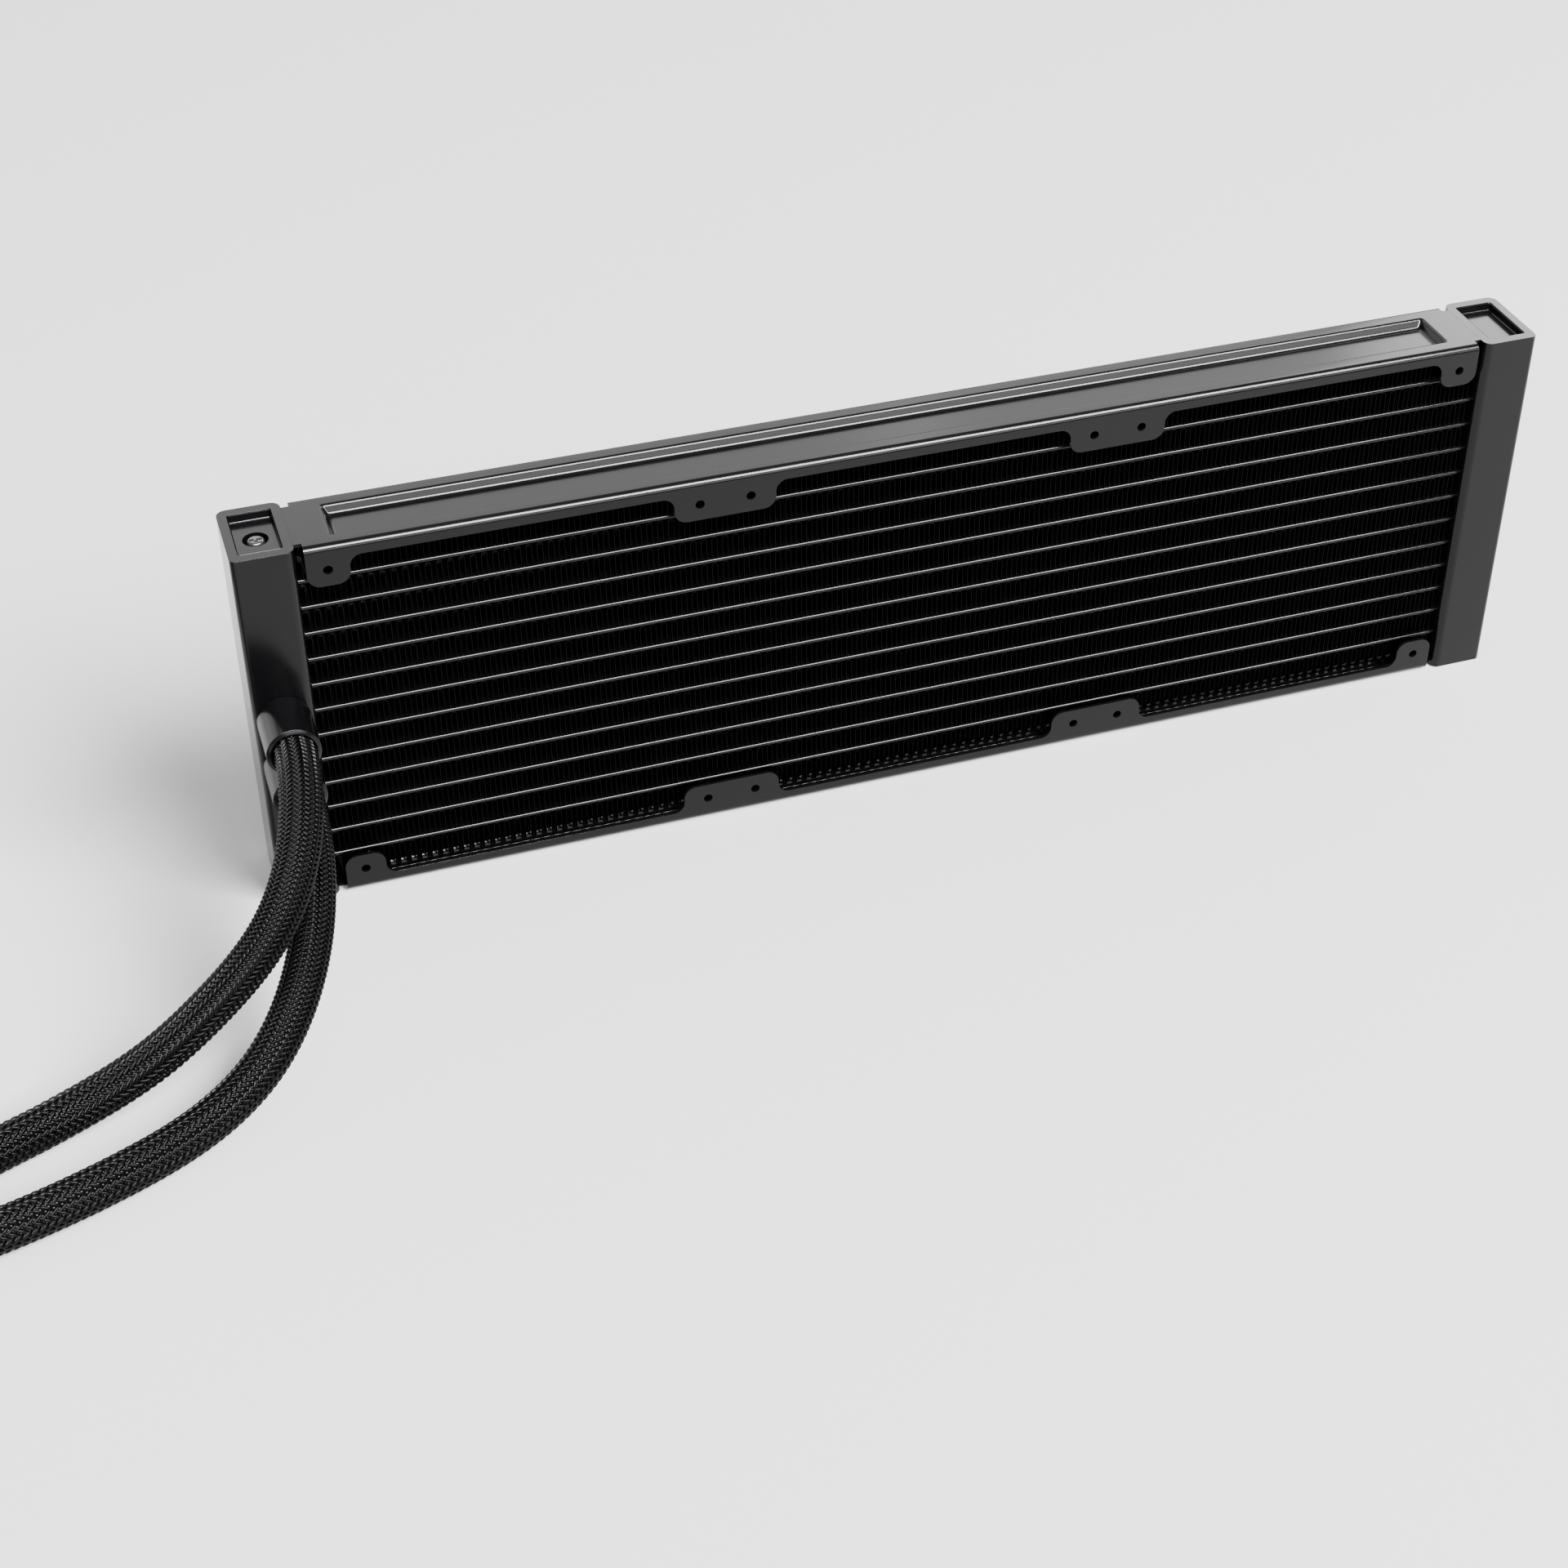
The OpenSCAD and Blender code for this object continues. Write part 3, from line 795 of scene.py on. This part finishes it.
def end_cap(name, side, low, with_pit):
    """Cup pressed into the end of a tank."""
    cx = side * TANK_MID
    foot = [(CAP_WALL + CAP_FOOT * (1 - math.cos(a)), POCKET - CAP_FOOT * (1 - math.sin(a)))
            for a in np.linspace(0, math.pi / 2, 6)]
    rings = [rect_ring(cx, POCKET_W, POCKET_L, POCKET_RADII, inset, HEIGHT - depth)
             for inset, depth in (*CAP_PROFILE, *foot)]
    if low:
        rings = [[(x, y, HEIGHT - z) for x, y, z in ring] for ring in rings]
    obj = loft(name, rings, smooth_deg=32)
    if with_pit:
        pit = lathe("tool", [(0.01, -PIT), (PIT_R, -PIT), (PIT_R, 1), (0.01, 1)],
                    (cx, 0, HEIGHT))
        neck_r, under = PIT_R - 0.02, -POCKET - 1.45
        boss = lathe("boss", [(SHANK_HOLE_R, -10), (BOSS_R - 0.2, -10), (BOSS_R, -9.7),
                              (BOSS_R, under), (neck_r, under), (neck_r, -PIT),
                              (SHANK_HOLE_R, -PIT)], (cx, 0, HEIGHT))
        cut(obj, [pit])
        join(obj, boss)
        soften(obj, 32)
    return even_normals(obj)


def join(obj, *others):
    """Joins the meshes of the others into obj."""
    bm = bmesh.new()
    for o in (obj, *others):
        bm.from_mesh(o.data)
    bm.to_mesh(obj.data)
    bm.free()
    for o in others:
        bpy.data.objects.remove(o)
    return obj


def make_caps():
    for side, word in ((-1, "left"), (1, "right")):
        for low, end in ((False, "top"), (True, "bottom")):
            node = f"{word}_{end}_cap"
            cap = end_cap(f"{node}_cup", side, low, node == "left_top_cap")
            finish_piece(cap, [node])


make_caps()


HEAD = 1.6              # height of the plug's head
HEAD_ROUND = 0.62
SHANK_R = 1.45
THREAD_STEP = 0.5
CROSS_L, CROSS_W = 1.8, 0.48
# (share of the cross's size, height above the head) of the tool that presses the cross
CROSS_TAPER = ((1.12, 0.5), (1.0, 0.0), (0.62, -1.0))


def fill_plug():
    """Pan head with a cross recess on a shank with thread grooves."""
    lo, hi = box_of("fill_plug")
    z, top, r = lo[2], hi[2], (hi[0] - lo[0]) / 2
    under = top - HEAD
    profile = [(0.01, z), (SHANK_R - 0.35, z), (SHANK_R - 0.1, z + 0.3)]
    while z + 1.0 < under - 0.4:
        profile += [(SHANK_R - 0.22, z + 0.55), (SHANK_R, z + 0.8)]
        z += THREAD_STEP
    profile += [(SHANK_R - 0.15, under - 0.2), (SHANK_R - 0.1, under), (r - 0.2, under),
                (r, under + 0.15), (r, top - HEAD_ROUND)]
    profile += [(r - HEAD_ROUND * (1 - math.cos(a)) * 1.3, top - HEAD_ROUND * (1 - math.sin(a)))
                for a in np.linspace(0.2, math.pi / 2, 6)]
    profile.append((0.01, top))
    obj = lathe("fill_plug_screw", profile, (PORT_X, 0, 0), steps=40)
    tools = []
    for half_x, half_y in ((CROSS_L, CROSS_W), (CROSS_W, CROSS_L)):
        rings = [[(PORT_X + sx * half_x * k, sy * half_y * k, top + dz) for sx, sy in CORNERS]
                 for k, dz in CROSS_TAPER]
        tools.append(loft("tool", rings, smooth_deg=0))
    cut(obj, tools)
    soften(obj, 35)
    return obj


finish_piece(fill_plug(), ["fill_plug"], body="fill_plug")

# ------------------------------------------------------------------ core

FIN_PERIOD = 3.168
FOLD_R = 0.66           # height of a fold at the top of a row
LOW_FOLD_R = 0.35       # and at the bottom
FIN_SHEET = 0.12
FIN_END_GAP = 0.05
TUBE_WALL = 0.3
FIN_ROWS, TUBES = 13, 12


def fin_row(node):
    """One folded strip: upright walls joined by round folds."""
    lo, hi = box_of(node)
    z0, z1 = lo[2] + FIN_SHEET / 2, hi[2] - FIN_SHEET / 2
    folds = round((hi[0] - lo[0]) / FIN_PERIOD)
    wide = (hi[0] - lo[0] - 2 * FIN_END_GAP) / folds / 4
    line = []
    for k in range(2 * folds):
        x = lo[0] + FIN_END_GAP + (2 * k + 1) * wide
        up = k % 2 == 0
        fold_r = FOLD_R if up else LOW_FOLD_R
        zc = z1 - fold_r if up else z0 + fold_r
        turn = 1 if up else -1
        for t in np.linspace(math.pi, 0, 7):
            line.append((x + wide * math.cos(t), zc + turn * fold_r * math.sin(t)))
    line = [p for j, p in enumerate(line) if j == 0 or math.dist(p, line[j - 1]) > 1e-6]
    verts = [(x, y, z) for x, z in line for y in (lo[1], hi[1])]
    faces = [(2 * j, 2 * j + 1, 2 * j + 3, 2 * j + 2) for j in range(len(line) - 1)]
    obj = from_arrays(f"{node}_folds", verts, faces, 0)
    solid = obj.modifiers.new("sheet", "SOLIDIFY")
    solid.thickness = FIN_SHEET * MM
    solid.offset = 0
    bpy.context.view_layer.update()
    apply_modifiers(obj)
    soften(obj, 40)
    obj.data.materials.append(MATS["fin_black"])
    return obj


def flat_tube(node):
    """Flat water tube with round noses and open ends."""
    lo, hi = box_of(node)
    r = (hi[2] - lo[2]) / 2
    y, zc = hi[1] - r, (lo[2] + hi[2]) / 2
    rings = []
    for x, rr in ((lo[0], r), (hi[0], r), (hi[0], r - TUBE_WALL), (lo[0], r - TUBE_WALL)):
        outline = arc(y, zc, rr, -90, 90, 10) + arc(-y, zc, rr, 90, 270, 10)
        rings.append([(x, *point) for point in outline])
    return loft(f"{node}_shell", rings, closed=True, smooth_deg=40)


def make_core():
    for k in range(1, FIN_ROWS + 1):
        finish_piece(fin_row(f"fin_row_{k}"), [f"fin_row_{k}"])
    for k in range(1, TUBES + 1):
        finish_piece(flat_tube(f"flat_tube_{k}"), [f"flat_tube_{k}"])


make_core()

# ------------------------------------------------------------------ collars and far ends

COLLAR_GROWS = 0.25     # the seen collar's radius over the CAD one's
COLLAR_SHIFT = -0.4     # and its place along X
COLLAR_BORE = HOSE_D / 2 + 0.6
END_BORE = HOSE_D / 2 + 0.25
BARB_HOLE_R = 4.85
HOSE_STOP = 13.5        # from the tank to the end of the hose inside the collar
STEM_R, STEM_BORE_R = 4.5, 3.0
STEM_HOLE_R = 4.55
STEM_ROOM_Z = 21.6
SWIVEL_GAP = 0.05
FLANGE_R, FLANGE = 9.0, 3.0
NECK_R, THREAD_R = 6.0, 6.58
THREAD_PITCH = 1.337
THREAD_DEPTH = 0.62
THREAD_FROM = 4.9       # above the flange's foot
SWIVEL_STEPS = 96
KNURL_OUT, KNURL_IN = 0.12, -0.18


def end_piece(obj, node, body=ROOT):
    finish_piece(obj, [node], body=body)


def port_collar(i):
    """Crimped collar: slightly conical mouth, chamfer by the tank."""
    lo, hi = box_of(f"hose_{i}_collar")
    r = (hi[0] - lo[0]) / 2 + COLLAR_GROWS
    y0, y1 = lo[1], hi[1]
    z = (lo[2] + hi[2]) / 2
    profile = [(BARB_HOLE_R, y1), (r - 0.3, y1), (r, y1 - 0.3),
               (r, y0 + 0.46), (r - 0.03, y0 + 0.42),
               (r - 1.0, y0 + 0.04), (r - 1.07, y0), (r - 1.14, y0 + 0.06),
               (COLLAR_BORE, y0 + 3.0), (COLLAR_BORE, y1 - HOSE_STOP),
               (BARB_HOLE_R, y1 - HOSE_STOP)]
    obj = lathe(f"hose_{i}_collar_ring", profile, (PORT_X + COLLAR_SHIFT, 0, z),
                axis="y", steps=64)
    end_piece(obj, f"hose_{i}_collar")


def end_collar(i):
    """Collar at the far end, and where the elbow starts: x, y, z and radius."""
    lo, hi = box_of(f"hose_{i}_end_collar")
    r = (hi[0] - lo[0]) / 2
    x, z = (lo[0] + hi[0]) / 2, (lo[2] + hi[2]) / 2
    y0, y1 = lo[1], hi[1]
    profile = [(END_BORE, y1 - 0.02), (r - 0.25, y1 - 0.02), (r, y1 - 0.3), (r, y0 + 1.0),
               (r - 0.2, y0 + 0.5), (END_BORE + 0.35, y0), (END_BORE, y0 + 0.3)]
    obj = lathe(f"hose_{i}_end_ring", profile, (x, 0, z), axis="y", steps=64)
    end_piece(obj, f"hose_{i}_end_collar")
    return x, y1, z, r


def elbow(i, x, y, z, r):
    """Swept quarter bend of the collar's diameter, with a groove ring and an upright stem."""
    lo, hi = box_of(f"hose_{i}_elbow")
    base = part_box(f"hose_{i}_swivel")[0][2] / MM - SWIVEL_GAP
    corner_y = hi[1] - r
    bend = r + 0.1
    # rows of (y, z, direction of the path as an angle above +Y, radius)
    rows = [(y + dy, z, 0, r - drop) for dy, drop in
            ((0, 0.3), (0.3, 0), (2.2, 0), (2.5, 0.5), (3.3, 0.5), (3.6, 0))]
    rows += [(corner_y - bend + bend * math.sin(a), z + bend * (1 - math.cos(a)), a, r)
             for a in np.linspace(0, math.pi / 2, 12)]
    rows += [(corner_y, at_z, math.pi / 2, rr) for at_z, rr in
             ((base - 0.3, r), (base, r - 0.3), (base, STEM_R), (hi[2], STEM_R),
              (hi[2], STEM_BORE_R), (z + bend + 0.2, STEM_BORE_R))]
    rings = []
    for at_y, at_z, a, rr in rows:
        rings.append([(x + rr * math.cos(t), at_y - rr * math.sin(t) * math.sin(a),
                       at_z + rr * math.sin(t) * math.cos(a)) for t in around(48)])
    end_piece(loft(f"hose_{i}_elbow_body", rings), f"hose_{i}_elbow")


def swivel(i):
    """Knurled flange and screw thread that turn on the elbow's stem."""
    lo, hi = box_of(f"hose_{i}_swivel")
    x, y = (lo[0] + hi[0]) / 2, (lo[1] + hi[1]) / 2
    z0, z1 = lo[2], hi[2]
    crest = z0 + THREAD_FROM

    def ring(z, radius):
        """Points at height z, with the radius given for each step or for all."""
        radii = np.broadcast_to(radius, SWIVEL_STEPS)
        return [(x + rr * math.cos(t), y + rr * math.sin(t), z)
                for rr, t in zip(radii, around(SWIVEL_STEPS))]

    ribs = np.where(np.arange(SWIVEL_STEPS) % 4 < 2, KNURL_OUT, KNURL_IN)
    knurl = FLANGE_R - KNURL_OUT + ribs
    rings = [ring(z0 + dz, radius) for dz, radius in
             ((0, STEM_HOLE_R), (0, FLANGE_R - 0.5), (0.35, knurl), (FLANGE - 0.35, knurl),
              (FLANGE, FLANGE_R - 0.5), (FLANGE, NECK_R), (THREAD_FROM - 0.2, NECK_R),
              (THREAD_FROM, THREAD_R - 0.55))]
    level = THREAD_PITCH / 8
    levels = int((z1 - 0.3 - crest) / level)
    turn = np.arange(SWIVEL_STEPS) / SWIVEL_STEPS
    for j in range(levels + 1):
        z = crest + j * level
        saw = 1 - abs(2 * ((z / THREAD_PITCH - turn) % 1.0) - 1)
        grow = min(1.0, j / 3, (levels - j) / 3 + 0.2)
        rings.append(ring(z, THREAD_R - THREAD_DEPTH * (1 - np.minimum(1, saw * 1.25) * grow)))
    rings += [ring(z, radius) for z, radius in
              ((z1, 5.5), (z1, STEM_BORE_R + 0.2), (z1 - 0.2, STEM_BORE_R),
               (STEM_ROOM_Z, STEM_BORE_R), (STEM_ROOM_Z, STEM_HOLE_R))]
    obj = loft(f"hose_{i}_swivel_thread", rings, closed=True, smooth_deg=40)
    end_piece(obj, f"hose_{i}_swivel", body=f"hose_{i}_swivel_end")


def make_fittings():
    for i in (1, 2):
        port_collar(i)
        x, y, z, r = end_collar(i)
        elbow(i, x, y, z, r)
        swivel(i)


make_fittings()

# ------------------------------------------------------------------ floor, light


FLOOR_HALF = 6.0
FLOOR_Z = -0.0002
FLOOR_GREY = 0.9
WORLD_STRENGTH = 0.7
CENTRE = (0, 0, 0.08)
# name: place, aim, size, radiance, and the group of objects that the light shines on
LIGHTS = {
    "key": ((0.1, -1.08, 1.8), CENTRE, (2.2, 0.68), 165, "part"),
    "key_sleeves": ((0.2, -1.15, 1.75), CENTRE, (2.3, 0.5), 70, "sleeves"),
    "back": ((-0.1, 1.75, 1.2), CENTRE, (1.6, 1.1), 3.5, "object"),
    "back_mid": ((0.86, 1.69, 1.15), CENTRE, (0.45, 1.2), 3.6, "object"),
    "back_right": ((1.3, 1.38, 1.1), CENTRE, (0.55, 1.2), 12.5, "object"),
    "back_left": ((-1.5, 1.75, 0.45), (-0.2, 0, 0.06), (1.6, 1.0), 2.6, "object"),
    "side_left": ((-1.7, -0.5, 0.9), (-0.25, -0.1, 0.03), (0.8, 0.9), 60, "sleeves"),
    "front_low": ((0.45, -2.2, 1.15), CENTRE, (2.3, 0.6), 12, "part"),
    "over_floor": ((2.2, -3.0, 3.6), (0, 0, 0), (3, 3), 38, "stage"),
}


def stage_floor():
    mesh = bpy.data.meshes.new("floor")
    corners = [(x * FLOOR_HALF, y * FLOOR_HALF, 0) for x, y in CORNERS]
    mesh.from_pydata(corners, [], [(0, 1, 2, 3)])
    floor = link_mesh("floor", mesh)
    n = Nodes("pale_floor")
    n.set(Base_Color=(FLOOR_GREY, FLOOR_GREY, FLOOR_GREY, 1), Roughness=0.6)
    floor.data.materials.append(n.mat)
    floor.location.z = FLOOR_Z
    floor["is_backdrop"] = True


def soft_light(name, at, aim, size, radiance, receivers):
    """Rectangular area light of even radiance, aimed at a point."""
    data = bpy.data.lights.new(name, "AREA")
    data.shape = "RECTANGLE"
    data.size, data.size_y = size
    data.energy = radiance * math.pi * size[0] * size[1]
    obj = bpy.data.objects.new(name, data)
    bpy.context.scene.collection.objects.link(obj)
    obj.location = at
    look = np.subtract(aim, at)
    obj.rotation_euler = (math.atan2(math.hypot(look[0], look[1]), -look[2]), 0,
                          math.atan2(look[1], look[0]) - math.pi / 2)
    obj.light_linking.receiver_collection = receivers


def lit_by(name, objects):
    """A group of objects that a light shines on."""
    group = bpy.data.collections.new(name)
    for obj in objects:
        group.objects.link(obj)
    return group


def light_scene():
    world = bpy.data.worlds.new("studio")
    world.use_nodes = True
    background = world.node_tree.nodes["Background"]
    background.inputs["Color"].default_value = (1, 1, 1, 1)
    background.inputs["Strength"].default_value = WORLD_STRENGTH
    bpy.context.scene.world = world
    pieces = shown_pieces()
    groups = {
        "part": lit_by("lit_part", [o for o in pieces if "sleeve" not in o.name]),
        "sleeves": lit_by("lit_sleeves", [o for o in pieces if "sleeve" in o.name]),
        "object": lit_by("lit_object", pieces),
        "stage": lit_by("lit_stage", [bpy.data.objects["floor"]]),
    }
    for name, (at, aim, extent, radiance, group) in LIGHTS.items():
        soft_light(name, at, aim, extent, radiance, groups[group])


stage_floor()
light_scene()
